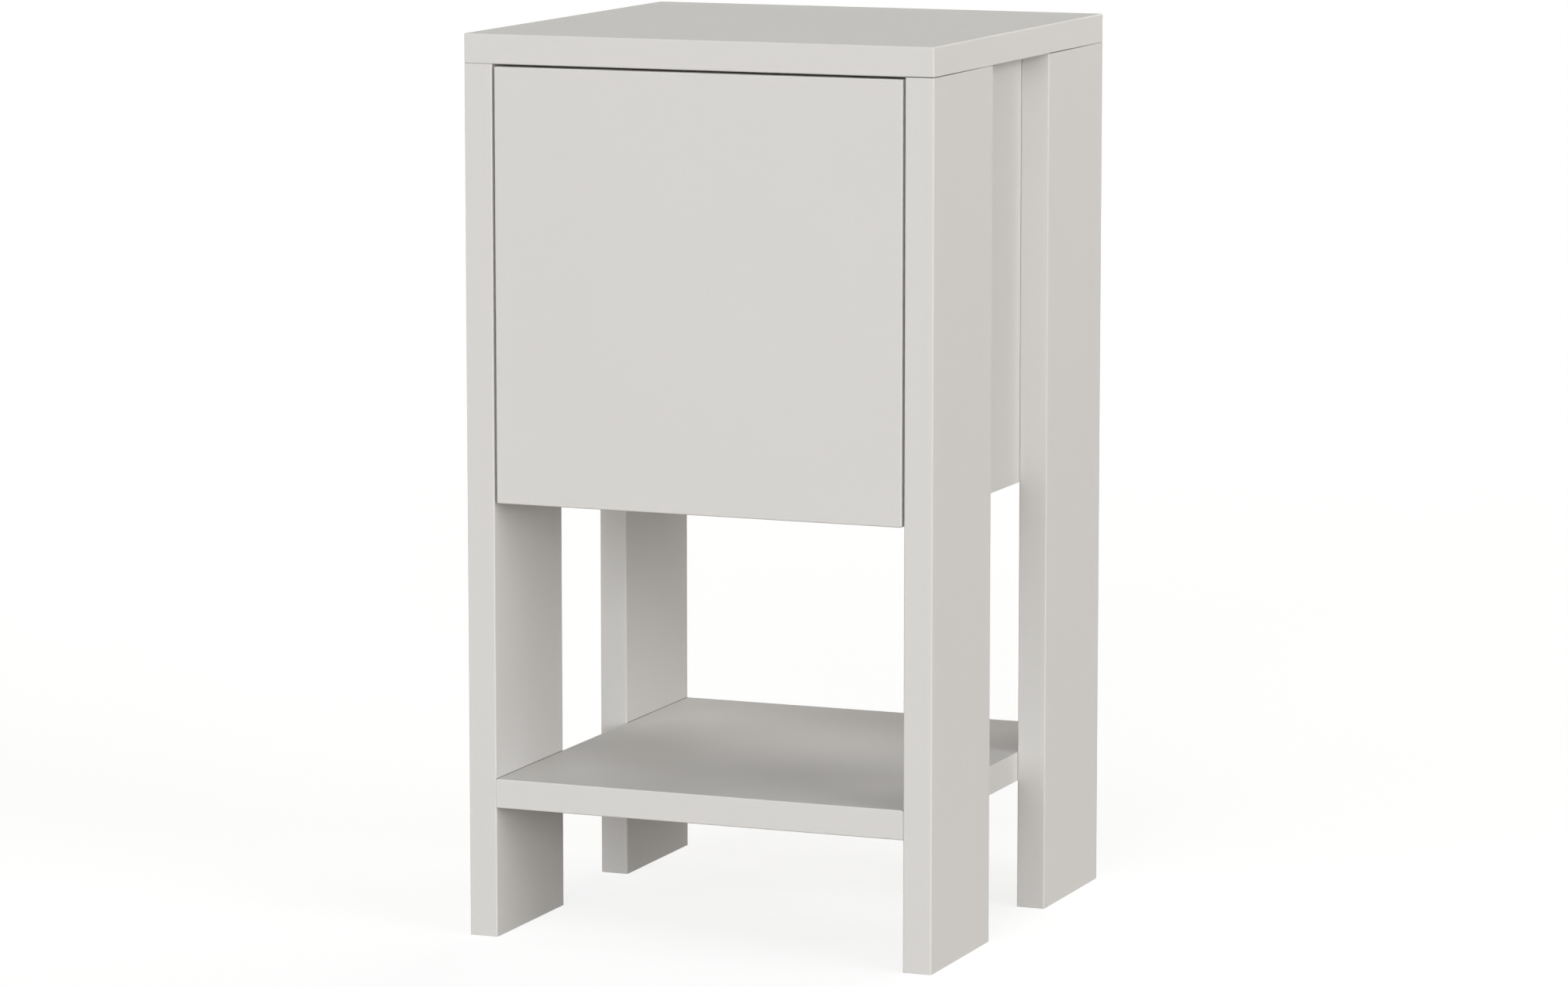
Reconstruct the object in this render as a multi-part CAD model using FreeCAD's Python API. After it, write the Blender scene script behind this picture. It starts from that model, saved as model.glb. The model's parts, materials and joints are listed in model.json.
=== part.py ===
import FreeCAD, Part
import os

# A slim nightstand: four slab legs carry a flat top, a box with one door and an open lower shelf.
# Millimetres. The origin is on the floor at the middle of the footprint, +X to the right,
# +Y to the back and +Z up, seen from the door's side.

# Overall sizes
WIDTH = 300.0               # across the front
DEPTH = 300.0               # front edge to back edge
HEIGHT = 550.0              # floor to the top face
BOARD = 18.0                # thickness of every coated board
LEG_DEPTH = 100.0           # front-to-back size of a slab leg
BOX_HEIGHT = 265.0          # underside of the top to the underside of the box and the door
SHELF_CLEAR = 80.0          # floor to the underside of the lower shelf
BAND = 1.0                  # thickness of the glued edge bands
ARRIS = 0.8                 # radius on the outer edges of the bands

# Door and back panel
DOOR_GAP = 1.5              # gap beside and above the door
PRESS_GAP = 3.0             # gap behind the door, which lets it be pressed in
BACK_SHEET = 3.0            # thickness of the hardboard back
BACK_INSET = 9.0            # back face of the hardboard from the rear edges
GROOVE_DEPTH = 6.0          # how far the hardboard enters its grooves
GROOVE_CLEAR = 0.2          # play of the hardboard in its grooves, on each side

# Fits
FIT = 0.05                  # play of a fastener or pin in its hole, on the radius
RUNNING = 0.05              # play of a turning or sliding fit, on the radius

# Cam fittings and dowels of the top and the shelf
CAM_RADIUS = 7.5
CAM_DEPTH = 12.5
CAM_REACH = 34.0            # cam centre from the board's end
CAM_INSET = 25.0            # cam bolt from the inner edge of a leg
BOLT_RADIUS = 3.4
BOLT_NECK = 2.0             # neck radius, inside the cam
BOLT_HEAD = 3.0             # length of the bolt's head
BOLT_GRIP = 11.0            # length of bolt in the mating board
BOLT_PLAY = 0.5             # play of the bolt in the board's end, on the radius
DOWEL_RADIUS = 4.0
DOWEL_LENGTH = 30.0
DOWEL_GRIP = 10.0           # length of dowel in the mating board
DOWEL_INSET = 25.0          # shelf dowel from the outer edge of a leg

# Screws
LONG_HEAD_RADIUS = 5.0      # long screws, box side to floor
LONG_HEAD = 3.0
LONG_SHANK_RADIUS = 3.5
LONG_LENGTH = 50.0
LEG_HEAD_RADIUS = 4.0       # short screws, box side to leg
LEG_HEAD = 2.5
LEG_SHANK_RADIUS = 2.0
LEG_SCREW_COVER = 6.0       # board left in front of the tip of a leg screw
LEG_SCREW_PITCH = 60.0      # between the two screws of one leg
PAN_HEAD_RADIUS = 3.5       # flat-headed screws of the hinges and the latch
PAN_HEAD = 1.6
PAN_SHANK_RADIUS = 1.75
PAN_LENGTH = 12.0
CROSS_WIDTH = 0.9           # width of the arms of the cross recess
CROSS_REACH = 1.5           # length of one arm from the middle
CROSS_DEPTH = 1.2

# Concealed hinges
HINGE_INSET = 60.0          # hinge centre from the end of the door
CUP_RADIUS = 17.5
CUP_EDGE = 4.0              # cup hole from the edge of the door
CUP_DEPTH = 13.0
CUP_WALL = 0.8
FLANGE = 1.2                # thickness of the cup's screw plate
FLANGE_MARGIN = 6.0         # screw plate beyond its screws
FLANGE_RIM = 4.0            # screw plate beyond the cup, and its corner radius
FLANGE_START = 2.0          # screw plate starts this far towards the edge from the cup's centre
CUP_SCREW_OFFSET = 9.5      # screw line from the cup's centre
CUP_SCREW_PITCH = 48.0
CUP_PIN_EDGE = 9.0          # cup pin from the door's edge
CUP_PIN_DEPTH = 6.5         # cup pin below the door's back face
CUP_PIN_RADIUS = 1.0
EAR = 3.0                   # thickness of the lugs that hold the cup pin
EAR_RADIUS = 2.4
ARM_PIN_OFF = 12.0          # arm pin from the inner face of the box side
ARM_PIN_BACK = 13.0         # arm pin behind the front edge of the box
ARM_PIN_RADIUS = 1.5
CLAW = 2.0                  # thickness of the claw's plate
CLAW_HEIGHT = 12.0
CLAW_FLOOR_GAP = 1.1        # claw from the floor of the cup
CLAW_HEEL = 3.6             # start of the claw's flat run from the cup pin
CLAW_TOE = 1.0              # end of the flat run before the arm pin
CUP_EYE = 2.2               # radius of the claw's eye on the cup pin
ARM_EYE = 3.0               # radius of the claw's eye on the arm pin
SIDE_PLAY = 0.5             # play beside the claw
ARM_SHEET = 1.2
ARM_NOSE = 5.0              # radius of the arm's front end
ARM_WEB_OFF = 4.0           # web of the arm from the arm pin
ARM_LENGTH = 50.0           # arm pin to the arm's rear end
PLATE_BACK = 37.0           # plate screws behind the front edge of the box
PLATE_SHEET = 2.0
PLATE_SCREW_PITCH = 32.0
PLATE_WING = 7.0            # radius of the plate's wings
PLATE_RIB = 36.0            # length of the plate's rib, under the arm
PIN_END = 0.5               # pin beyond the outer face of what holds it

# Push latch
LATCH_WIDTH = 15.0          # off the box side
LATCH_HEIGHT = 18.0
LATCH_LENGTH = 62.0
LATCH_BACK = 1.0            # front of the housing behind the front edge of the box
LATCH_FLANGE = 2.0
LATCH_FLANGE_LENGTH = 24.0
LATCH_FLANGE_MARGIN = 6.0   # flange beyond its screws
LATCH_SCREW_ROOM = 6.0      # latch screw from the side of the housing
BORE_RADIUS = 4.5
BORE_WALL = 4.0             # closed rear wall of the housing
PLUNGER_LENGTH = 44.0
TIP_GAP = 0.3               # magnet from the strike, with the door shut
MAGNET_RADIUS = 3.5
MAGNET_LENGTH = 3.0
MAGNET_PROUD = 0.5
SPRING_WALL = 1.0
STRIKE_RADIUS = 8.0
STRIKE_SHEET = 1.5
STRIKE_PIN = 1.5            # radius of the pin that holds the strike in the door
STRIKE_PIN_LENGTH = 8.0

# Faces and edges worked out from the sizes above
V = FreeCAD.Vector
SIGNS = (-1, 1)
TINY = 0.001
X_OUT = WIDTH / 2
X_LEG = X_OUT - BOARD                   # inner face of a leg
X_BOX = X_LEG - BOARD                   # inner face of a box side
Y_END = DEPTH / 2
Y_DOOR = -Y_END + BOARD                 # back face of the door
Y_BOX = Y_DOOR + PRESS_GAP              # front edge of the box
Y_LEG = Y_END - LEG_DEPTH               # inner edge of a leg
Z_TOP = HEIGHT - BOARD                  # underside of the top
Z_BOX = Z_TOP - BOX_HEIGHT              # underside of the box and the door
Z_FLOOR = Z_BOX + BOARD                 # floor inside the box
Z_SHELF = SHELF_CLEAR + BOARD           # upper face of the shelf
Z_DOOR = Z_TOP - DOOR_GAP               # upper edge of the door
Z_MIDDLE = (Z_FLOOR + Z_TOP) / 2
X_DOOR = X_LEG - DOOR_GAP               # side edge of the door
HINGE_LEVELS = {"lower": Z_BOX + HINGE_INSET, "upper": Z_DOOR - HINGE_INSET}
CUP_X = -X_DOOR + CUP_EDGE + CUP_RADIUS
CUP_PIN = (-X_DOOR + CUP_PIN_EDGE, Y_DOOR - CUP_PIN_DEPTH)
ARM_PIN = (-X_BOX + ARM_PIN_OFF, Y_BOX + ARM_PIN_BACK)
WEB_X = ARM_PIN[0] + ARM_WEB_OFF        # inner face of the arm's web
PLATE_Y = Y_BOX + PLATE_BACK
LATCH_X = X_BOX - LATCH_WIDTH / 2       # axis of the plunger
LATCH_Y = Y_BOX + LATCH_BACK            # front of the latch housing
LATCH_SCREW_PITCH = LATCH_HEIGHT + 2 * LATCH_SCREW_ROOM
MAGNET_Y = Y_DOOR + STRIKE_SHEET + TIP_GAP      # front of the magnet, with the door shut

# Screws as head radius, head height, shank radius and length
LONG_SCREW = (LONG_HEAD_RADIUS, LONG_HEAD, LONG_SHANK_RADIUS, LONG_LENGTH)
LEG_SCREW = (LEG_HEAD_RADIUS, LEG_HEAD, LEG_SHANK_RADIUS, 2 * BOARD - LEG_SCREW_COVER)
PAN_SCREW = (PAN_HEAD_RADIUS, PAN_HEAD, PAN_SHANK_RADIUS, PAN_LENGTH)

nodes = {}                              # finished pieces, by name
bores = {}                              # what is drilled out of each board, by the board's name


def box(x, y, z):
    return Part.makeBox(x[1] - x[0], y[1] - y[0], z[1] - z[0], V(x[0], y[0], z[0]))


def rod(at, way, radius, length):
    return Part.makeCylinder(radius, length, at, way)


def one(shape):
    """The single solid of a shape that was cut or fused."""
    return shape.removeSplitter().Solids[0]


def placed(shape, at, way):
    """A copy of a shape made along +Z from the origin, set at a point and turned along way."""
    copy = shape.copy()
    copy.Placement = FreeCAD.Placement(at, FreeCAD.Rotation(V(0, 0, 1), way))
    return copy


def drill(board, shape):
    bores.setdefault(board, []).append(shape)


def mirrored(value, sign):
    """The span from one value to another on the given side of the middle, low end first."""
    return tuple(sorted((sign * value[0], sign * value[1])))


def capsule(start, end, radius, low, high):
    """A bar with round ends between two points of the plan."""
    first = V(start[0], start[1], low)
    last = V(end[0], end[1], low)
    along = last - first
    across = V(-along.y, along.x, 0).normalize() * radius
    corners = [first + across, first - across, last - across, last + across, first + across]
    up = V(0, 0, high - low)
    bar = Part.Face(Part.makePolygon(corners)).extrude(up)
    ends = [rod(point, V(0, 0, 1), radius, high - low) for point in (first, last)]
    return bar.fuse(ends)


def arris_edges(whole, spans, thin, sides):
    """The edges of a board that lie on banded sides only."""
    picked = []
    for edge in whole.Edges:
        middle = edge.CenterOfMass
        touched = [(axis, end) for axis in range(3) for end in (0, 1)
                   if axis != thin and abs(middle[axis] - spans[axis][end]) < TINY]
        if all(side in sides for side in touched):
            picked.append(edge)
    return picked


def banded(spans, thin, sides):
    """A board's core and its edge bands. A side is an axis and its low or high end, 0 or 1."""
    whole = box(*spans)
    whole = whole.makeFillet(ARRIS, arris_edges(whole, spans, thin, sides))
    core = [list(span) for span in spans]
    strips = []
    for axis, end in sides:
        inner = core[axis][end] + (BAND if end == 0 else -BAND)
        strip = [list(span) for span in core]
        strip[axis][1 - end] = inner
        core[axis][end] = inner
        strips.append(one(whole.common(box(*strip))))
    return one(whole.common(box(*core))), strips


def corner_name(x_sign, y_sign):
    return ("front" if y_sign < 0 else "rear") + ("_left" if x_sign < 0 else "_right")


def side_name(sign):
    return "left_side_panel" if sign < 0 else "right_side_panel"


def make_top():
    spans = ((-X_OUT, X_OUT), (-Y_END, Y_END), (Z_TOP, HEIGHT))
    sides = [(1, 0), (1, 1), (0, 0), (0, 1)]
    nodes["top_panel"], nodes["top_edge_bands"] = banded(spans, 2, sides)


def make_legs():
    nodes["leg_edge_bands"] = []
    for x_sign in SIGNS:
        for y_sign in SIGNS:
            spans = (mirrored((X_LEG, X_OUT), x_sign), mirrored((Y_LEG, Y_END), y_sign), (0, Z_TOP))
            core, strips = banded(spans, 0, [(1, 0), (1, 1)])
            nodes[corner_name(x_sign, y_sign) + "_leg"] = core
            nodes["leg_edge_bands"] += strips


def make_box():
    nodes["side_edge_bands"] = []
    for sign in SIGNS:
        spans = (mirrored((X_BOX, X_LEG), sign), (Y_BOX, Y_END), (Z_BOX, Z_TOP))
        nodes[side_name(sign)], strips = banded(spans, 0, [(1, 0), (2, 0)])
        nodes["side_edge_bands"] += strips
    spans = ((-X_BOX, X_BOX), (Y_BOX, Y_END), (Z_BOX, Z_FLOOR))
    nodes["bottom_panel"], nodes["bottom_edge_band"] = banded(spans, 2, [(1, 0)])


def make_back():
    """Hardboard sheet that slides in grooves of the sides, the floor and the top."""
    y = (Y_END - BACK_INSET - BACK_SHEET, Y_END - BACK_INSET)
    reach = X_BOX + GROOVE_DEPTH
    z = (Z_FLOOR - GROOVE_DEPTH, Z_TOP + GROOVE_DEPTH)
    play = GROOVE_CLEAR
    nodes["back_panel"] = box((-reach + play, reach - play), y, (z[0] + play, z[1] - play))
    groove = box((-reach, reach), (y[0] - play, y[1] + play), z)
    for board in ("left_side_panel", "right_side_panel", "bottom_panel", "top_panel"):
        drill(board, groove)


def make_shelf():
    spans = ((-X_LEG, X_LEG), (-Y_END, Y_END), (SHELF_CLEAR, Z_SHELF))
    nodes["lower_shelf"], nodes["shelf_edge_bands"] = banded(spans, 2, [(1, 0), (1, 1)])


def make_door():
    spans = ((-X_DOOR, X_DOOR), (-Y_END, Y_DOOR), (Z_BOX, Z_DOOR))
    sides = [(0, 0), (0, 1), (2, 0), (2, 1)]
    nodes["door"], nodes["door_edge_bands"] = banded(spans, 1, sides)


def cross_recess(z):
    long = (-CROSS_REACH, CROSS_REACH)
    wide = (-CROSS_WIDTH / 2, CROSS_WIDTH / 2)
    deep = (z, z + CROSS_DEPTH)
    return box(long, wide, deep).fuse(box(wide, long, deep))


def flush_screw(sizes):
    """Screw with a conical head whose face is at z = 0."""
    head_radius, head_height, shank_radius, length = sizes
    head = Part.makeCone(head_radius, shank_radius, head_height)
    shank = rod(V(0, 0, 0), V(0, 0, 1), shank_radius, length)
    return one(head.fuse(shank).cut(cross_recess(0)))


def flush_bore(sizes):
    head_radius, head_height, shank_radius, length = sizes
    head = Part.makeCone(head_radius + FIT, shank_radius + FIT, head_height)
    return head.fuse(rod(V(0, 0, 0), V(0, 0, 1), shank_radius + FIT, length + FIT))


def pan_screw(sizes):
    """Screw with a flat head that stands on z = 0."""
    head_radius, head_height, shank_radius, length = sizes
    head = rod(V(0, 0, -head_height), V(0, 0, 1), head_radius, head_height)
    head = head.makeFillet(head_height / 2, [head.Edges[2]])
    shank = rod(V(0, 0, 0), V(0, 0, 1), shank_radius, length)
    return one(head.fuse(shank).cut(cross_recess(-head_height)))


def pan_bore(sizes):
    return rod(V(0, 0, 0), V(0, 0, 1), sizes[2] + FIT, sizes[3] + FIT)


def make_box_screws():
    """Long screws through the sides into the floor, with their heads behind the legs."""
    nodes["floor_screws"] = []
    nodes["leg_screws"] = []
    leg_middle = Y_END - LEG_DEPTH / 2
    for x_sign in SIGNS:
        inward = V(-x_sign, 0, 0)
        for y_sign in SIGNS:
            leg = corner_name(x_sign, y_sign) + "_leg"
            at = V(x_sign * X_LEG, y_sign * leg_middle, Z_BOX + BOARD / 2)
            nodes["floor_screws"].append(placed(flush_screw(LONG_SCREW), at, inward))
            for board in (side_name(x_sign), "bottom_panel"):
                drill(board, placed(flush_bore(LONG_SCREW), at, inward))
            for rise in (-LEG_SCREW_PITCH / 2, LEG_SCREW_PITCH / 2):
                at = V(x_sign * X_BOX, y_sign * leg_middle, Z_MIDDLE + rise)
                nodes["leg_screws"].append(placed(flush_screw(LEG_SCREW), at, -inward))
                for board in (side_name(x_sign), leg):
                    drill(board, placed(flush_bore(LEG_SCREW), at, -inward))


def cam_fitting(kind, board, mate, face, into, pull):
    """Cam disc let into a board's face, with the bolt that it pulls out of the mating board."""
    disc = rod(face, into, CAM_RADIUS - FIT, CAM_DEPTH - FIT)
    centre = face + into * (BOARD / 2)
    slot = rod(centre - pull * BOLT_HEAD, pull, BOLT_RADIUS + BOLT_PLAY, CAM_RADIUS + BOLT_HEAD)
    disc = one(disc.cut(slot).cut(placed(cross_recess(0), face, into)))
    head = rod(centre - pull * (BOLT_HEAD / 2), pull, BOLT_RADIUS, BOLT_HEAD)
    neck = rod(centre, pull, BOLT_NECK, CAM_REACH)
    shaft = rod(centre + pull * CAM_RADIUS, pull, BOLT_RADIUS, CAM_REACH - CAM_RADIUS + BOLT_GRIP)
    nodes.setdefault(kind + "_cams", []).append(disc)
    nodes.setdefault(kind + "_cam_bolts", []).append(one(head.fuse([neck, shaft])))
    drill(board, rod(face, into, CAM_RADIUS, CAM_DEPTH))
    drill(board, rod(centre, pull, BOLT_RADIUS + BOLT_PLAY, CAM_REACH))
    drill(mate, rod(centre + pull * CAM_REACH, pull, BOLT_RADIUS + FIT, BOLT_GRIP + FIT))


def dowel(kind, board, mate, seam, way):
    """Dowel across a joint; way points into the mating board."""
    start = seam - way * (DOWEL_LENGTH - DOWEL_GRIP)
    nodes.setdefault(kind + "_dowels", []).append(rod(start, way, DOWEL_RADIUS, DOWEL_LENGTH))
    for name in (board, mate):
        drill(name, rod(start - way * FIT, way, DOWEL_RADIUS + FIT, DOWEL_LENGTH + 2 * FIT))


def make_joints():
    """Cams and dowels: box sides and legs to the top, shelf to the legs."""
    up = V(0, 0, 1)
    for x_sign in SIGNS:
        out = V(x_sign, 0, 0)
        for y_sign in SIGNS:
            leg = corner_name(x_sign, y_sign) + "_leg"
            cam_y = y_sign * (Y_LEG + CAM_INSET)
            face = V(x_sign * X_BOX, cam_y, Z_TOP - CAM_REACH)
            cam_fitting("top", side_name(x_sign), "top_panel", face, out, up)
            face = V(x_sign * (X_LEG - CAM_REACH), cam_y, SHELF_CLEAR)
            cam_fitting("shelf", "lower_shelf", leg, face, up, out)
            leg_centre = V(x_sign * (X_OUT - BOARD / 2), y_sign * (Y_END - LEG_DEPTH / 2), Z_TOP)
            dowel("top", leg, "top_panel", leg_centre, up)
            seam = V(x_sign * X_LEG, y_sign * (Y_END - DOWEL_INSET), SHELF_CLEAR + BOARD / 2)
            dowel("shelf", "lower_shelf", leg, seam, out)


def make_cup(level, z):
    """Round cup let into the door, with a screw plate and two lugs for the cup pin."""
    into = V(0, -1, 0)
    mouth = V(CUP_X, Y_DOOR, z)
    cup = rod(mouth, into, CUP_RADIUS, CUP_DEPTH)
    tall = CUP_SCREW_PITCH / 2 + FLANGE_MARGIN
    plate = box((CUP_X - FLANGE_START, CUP_X + CUP_RADIUS + FLANGE_RIM), (Y_DOOR, Y_DOOR + FLANGE),
                (z - tall, z + tall))
    corners = [edge for edge in plate.Edges if abs(edge.Length - FLANGE) < TINY]
    plate = plate.makeFillet(FLANGE_RIM, corners)
    hollow = rod(mouth - into * FLANGE, into, CUP_RADIUS - CUP_WALL, CUP_DEPTH - CUP_WALL + FLANGE)
    low = CLAW_HEIGHT / 2 + SIDE_PLAY
    floor_y = Y_DOOR - CUP_DEPTH + CUP_WALL / 2
    body = cup.fuse(plate).cut(hollow)
    for sign in SIGNS:
        span = mirrored((low, low + EAR), sign)
        lug = capsule(CUP_PIN, (CUP_PIN[0], floor_y), EAR_RADIUS, z + span[0], z + span[1])
        body = body.fuse(lug.common(cup))
    pin_half = low + EAR
    start = V(CUP_PIN[0], CUP_PIN[1], z - pin_half)
    nodes[level + "_hinge_cup_pin"] = rod(start, V(0, 0, 1), CUP_PIN_RADIUS, 2 * pin_half)
    body = body.cut(rod(start, V(0, 0, 1), CUP_PIN_RADIUS + FIT, 2 * pin_half))
    nodes.setdefault("hinge_cup_screws", [])
    for sign in SIGNS:
        at = V(CUP_X + CUP_SCREW_OFFSET, Y_DOOR + FLANGE, z + sign * CUP_SCREW_PITCH / 2)
        nodes["hinge_cup_screws"].append(placed(pan_screw(PAN_SCREW), at, into))
        hole = placed(pan_bore(PAN_SCREW), at, into)
        body = body.cut(hole)
        drill("door", hole)
    nodes[level + "_hinge_cup"] = one(body)
    drill("door", rod(mouth, into, CUP_RADIUS + FIT, CUP_DEPTH + FIT))


def make_claw(level, z):
    """Hooked link from the arm pin, along the floor of the cup, to the cup pin."""
    low, high = z - CLAW_HEIGHT / 2, z + CLAW_HEIGHT / 2
    run_y = Y_DOOR - CUP_DEPTH + CUP_WALL + CLAW_FLOOR_GAP + CLAW / 2
    heel = (CUP_PIN[0] + CLAW_HEEL, run_y)
    toe = (ARM_PIN[0] - CLAW_TOE, run_y)
    bends = [CUP_PIN, heel, toe, ARM_PIN]
    bars = [capsule(a, b, CLAW / 2, low, high) for a, b in zip(bends, bends[1:])]
    up = V(0, 0, 1)
    claw = bars[0].fuse(bars[1:])
    holes = []
    for pin, eye, radius in ((CUP_PIN, CUP_EYE, CUP_PIN_RADIUS), (ARM_PIN, ARM_EYE, ARM_PIN_RADIUS)):
        at = V(pin[0], pin[1], low)
        claw = claw.fuse(rod(at, up, eye, CLAW_HEIGHT))
        holes.append(rod(at, up, radius + RUNNING, CLAW_HEIGHT))
    claw = claw.cut(holes)
    nodes[level + "_hinge_claw"] = one(claw)


def make_arm(level, z):
    """Folded arm: two cheeks that hold the arm pin and a web that is screwed to the plate."""
    inner = CLAW_HEIGHT / 2 + SIDE_PLAY
    outer = inner + ARM_SHEET
    rear = ARM_PIN[1] + ARM_LENGTH
    up = V(0, 0, 1)
    x = (ARM_PIN[0] - ARM_NOSE, WEB_X + ARM_SHEET)
    arm = box((WEB_X, x[1]), (ARM_PIN[1], rear), (z - outer, z + outer))
    for sign in SIGNS:
        span = mirrored((inner, outer), sign)
        cheek = box(x, (ARM_PIN[1], rear), (z + span[0], z + span[1]))
        nose = rod(V(ARM_PIN[0], ARM_PIN[1], z + span[0]), up, ARM_NOSE, ARM_SHEET)
        arm = arm.fuse([cheek, nose])
    pin_half = outer + PIN_END
    start = V(ARM_PIN[0], ARM_PIN[1], z - pin_half)
    nodes[level + "_hinge_arm_pin"] = rod(start, up, ARM_PIN_RADIUS, 2 * pin_half)
    arm = arm.cut(rod(start, up, ARM_PIN_RADIUS + FIT, 2 * pin_half))
    at = V(WEB_X + ARM_SHEET, PLATE_Y, z)
    inward = V(-1, 0, 0)
    nodes.setdefault("hinge_arm_screws", []).append(placed(pan_screw(PAN_SCREW), at, inward))
    nodes[level + "_hinge_arm"] = one(arm.cut(placed(pan_bore(PAN_SCREW), at, inward)))


def make_plate(level, z):
    """Mounting plate on the box side: two screwed wings and a rib that fills the arm."""
    wall = V(-1, 0, 0)
    half = PLATE_SCREW_PITCH / 2
    x = (-X_BOX, -X_BOX + PLATE_SHEET)
    base = box(x, (PLATE_Y - PLATE_WING, PLATE_Y + PLATE_WING), (z - half, z + half))
    ends = [rod(V(x[0], PLATE_Y, z + sign * half), -wall, PLATE_WING, PLATE_SHEET) for sign in SIGNS]
    rib_half = CLAW_HEIGHT / 2
    rib = box((x[0], WEB_X), (PLATE_Y - PLATE_RIB / 2, PLATE_Y + PLATE_RIB / 2),
              (z - rib_half, z + rib_half))
    plate = base.fuse(ends).fuse(rib)
    arm_screw = placed(pan_bore(PAN_SCREW), V(WEB_X + ARM_SHEET, PLATE_Y, z), wall)
    plate = plate.cut(arm_screw)
    nodes.setdefault("hinge_plate_screws", [])
    for sign in SIGNS:
        at = V(x[1], PLATE_Y, z + sign * half)
        nodes["hinge_plate_screws"].append(placed(pan_screw(PAN_SCREW), at, wall))
        hole = placed(pan_bore(PAN_SCREW), at, wall)
        plate = plate.cut(hole)
        drill("left_side_panel", hole)
    nodes[level + "_hinge_plate"] = one(plate)


def make_hinges():
    for level, z in HINGE_LEVELS.items():
        make_cup(level, z)
        make_claw(level, z)
        make_arm(level, z)
        make_plate(level, z)


def make_latch():
    """Push latch on the right side: housing, plunger with a magnet, spring and strike."""
    back = V(0, 1, 0)
    wall = V(1, 0, 0)
    half = LATCH_HEIGHT / 2
    rear = LATCH_Y + LATCH_LENGTH
    housing = box((X_BOX - LATCH_WIDTH, X_BOX), (LATCH_Y, rear), (Z_MIDDLE - half, Z_MIDDLE + half))
    flange_y = LATCH_Y + LATCH_LENGTH / 2
    flange_half = LATCH_SCREW_PITCH / 2 + LATCH_FLANGE_MARGIN
    flange = box((X_BOX - LATCH_FLANGE, X_BOX),
                 (flange_y - LATCH_FLANGE_LENGTH / 2, flange_y + LATCH_FLANGE_LENGTH / 2),
                 (Z_MIDDLE - flange_half, Z_MIDDLE + flange_half))
    axis = V(LATCH_X, LATCH_Y, Z_MIDDLE)
    housing = housing.fuse(flange).cut(rod(axis, back, BORE_RADIUS, LATCH_LENGTH - BORE_WALL))
    nodes["latch_screws"] = []
    for sign in SIGNS:
        at = V(X_BOX - LATCH_FLANGE, flange_y, Z_MIDDLE + sign * LATCH_SCREW_PITCH / 2)
        nodes["latch_screws"].append(placed(pan_screw(PAN_SCREW), at, wall))
        hole = placed(pan_bore(PAN_SCREW), at, wall)
        housing = housing.cut(hole)
        drill("right_side_panel", hole)
    nodes["latch_housing"] = one(housing)

    magnet_front = V(LATCH_X, MAGNET_Y, Z_MIDDLE)
    nodes["latch_magnet"] = rod(magnet_front, back, MAGNET_RADIUS, MAGNET_LENGTH)
    tip = magnet_front + back * MAGNET_PROUD
    plunger = rod(tip, back, BORE_RADIUS - RUNNING, PLUNGER_LENGTH)
    pocket = rod(tip, back, MAGNET_RADIUS + FIT, MAGNET_LENGTH - MAGNET_PROUD)
    nodes["latch_plunger"] = one(plunger.cut(pocket))

    spring_start = tip + back * (PLUNGER_LENGTH + FIT)
    spring_length = rear - BORE_WALL - FIT - spring_start.y
    outer = rod(spring_start, back, BORE_RADIUS - FIT, spring_length)
    inner = rod(spring_start, back, BORE_RADIUS - FIT - SPRING_WALL, spring_length)
    nodes["latch_spring"] = outer.cut(inner)

    seat = V(LATCH_X, Y_DOOR, Z_MIDDLE)
    strike = rod(seat, back, STRIKE_RADIUS, STRIKE_SHEET)
    pin = rod(seat, -back, STRIKE_PIN, STRIKE_PIN_LENGTH)
    nodes["latch_strike"] = one(strike.fuse(pin))
    drill("door", rod(seat, -back, STRIKE_PIN + FIT, STRIKE_PIN_LENGTH + FIT))


def export():
    os.makedirs("parts", exist_ok=True)
    for name, piece in nodes.items():
        for bore in bores.get(name, []):
            piece = piece.cut(bore)
        shape = Part.makeCompound(piece) if isinstance(piece, list) else one(piece)
        shape.exportStep("parts/" + name + ".step")


make_top()
make_legs()
make_box()
make_back()
make_shelf()
make_door()
make_box_screws()
make_joints()
make_hinges()
make_latch()
export()
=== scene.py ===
"""Looks of a slim nightstand: coated boards, one push-to-open door and an open lower shelf.

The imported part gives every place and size. This file gives the finishes, the finer hardware,
the floor, the light and the camera. Lengths are metres.
"""
import json
import math

import bmesh
import bpy
from bpy.props import FloatProperty, FloatVectorProperty, IntProperty, PointerProperty
from mathutils import Matrix, Vector


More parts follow.
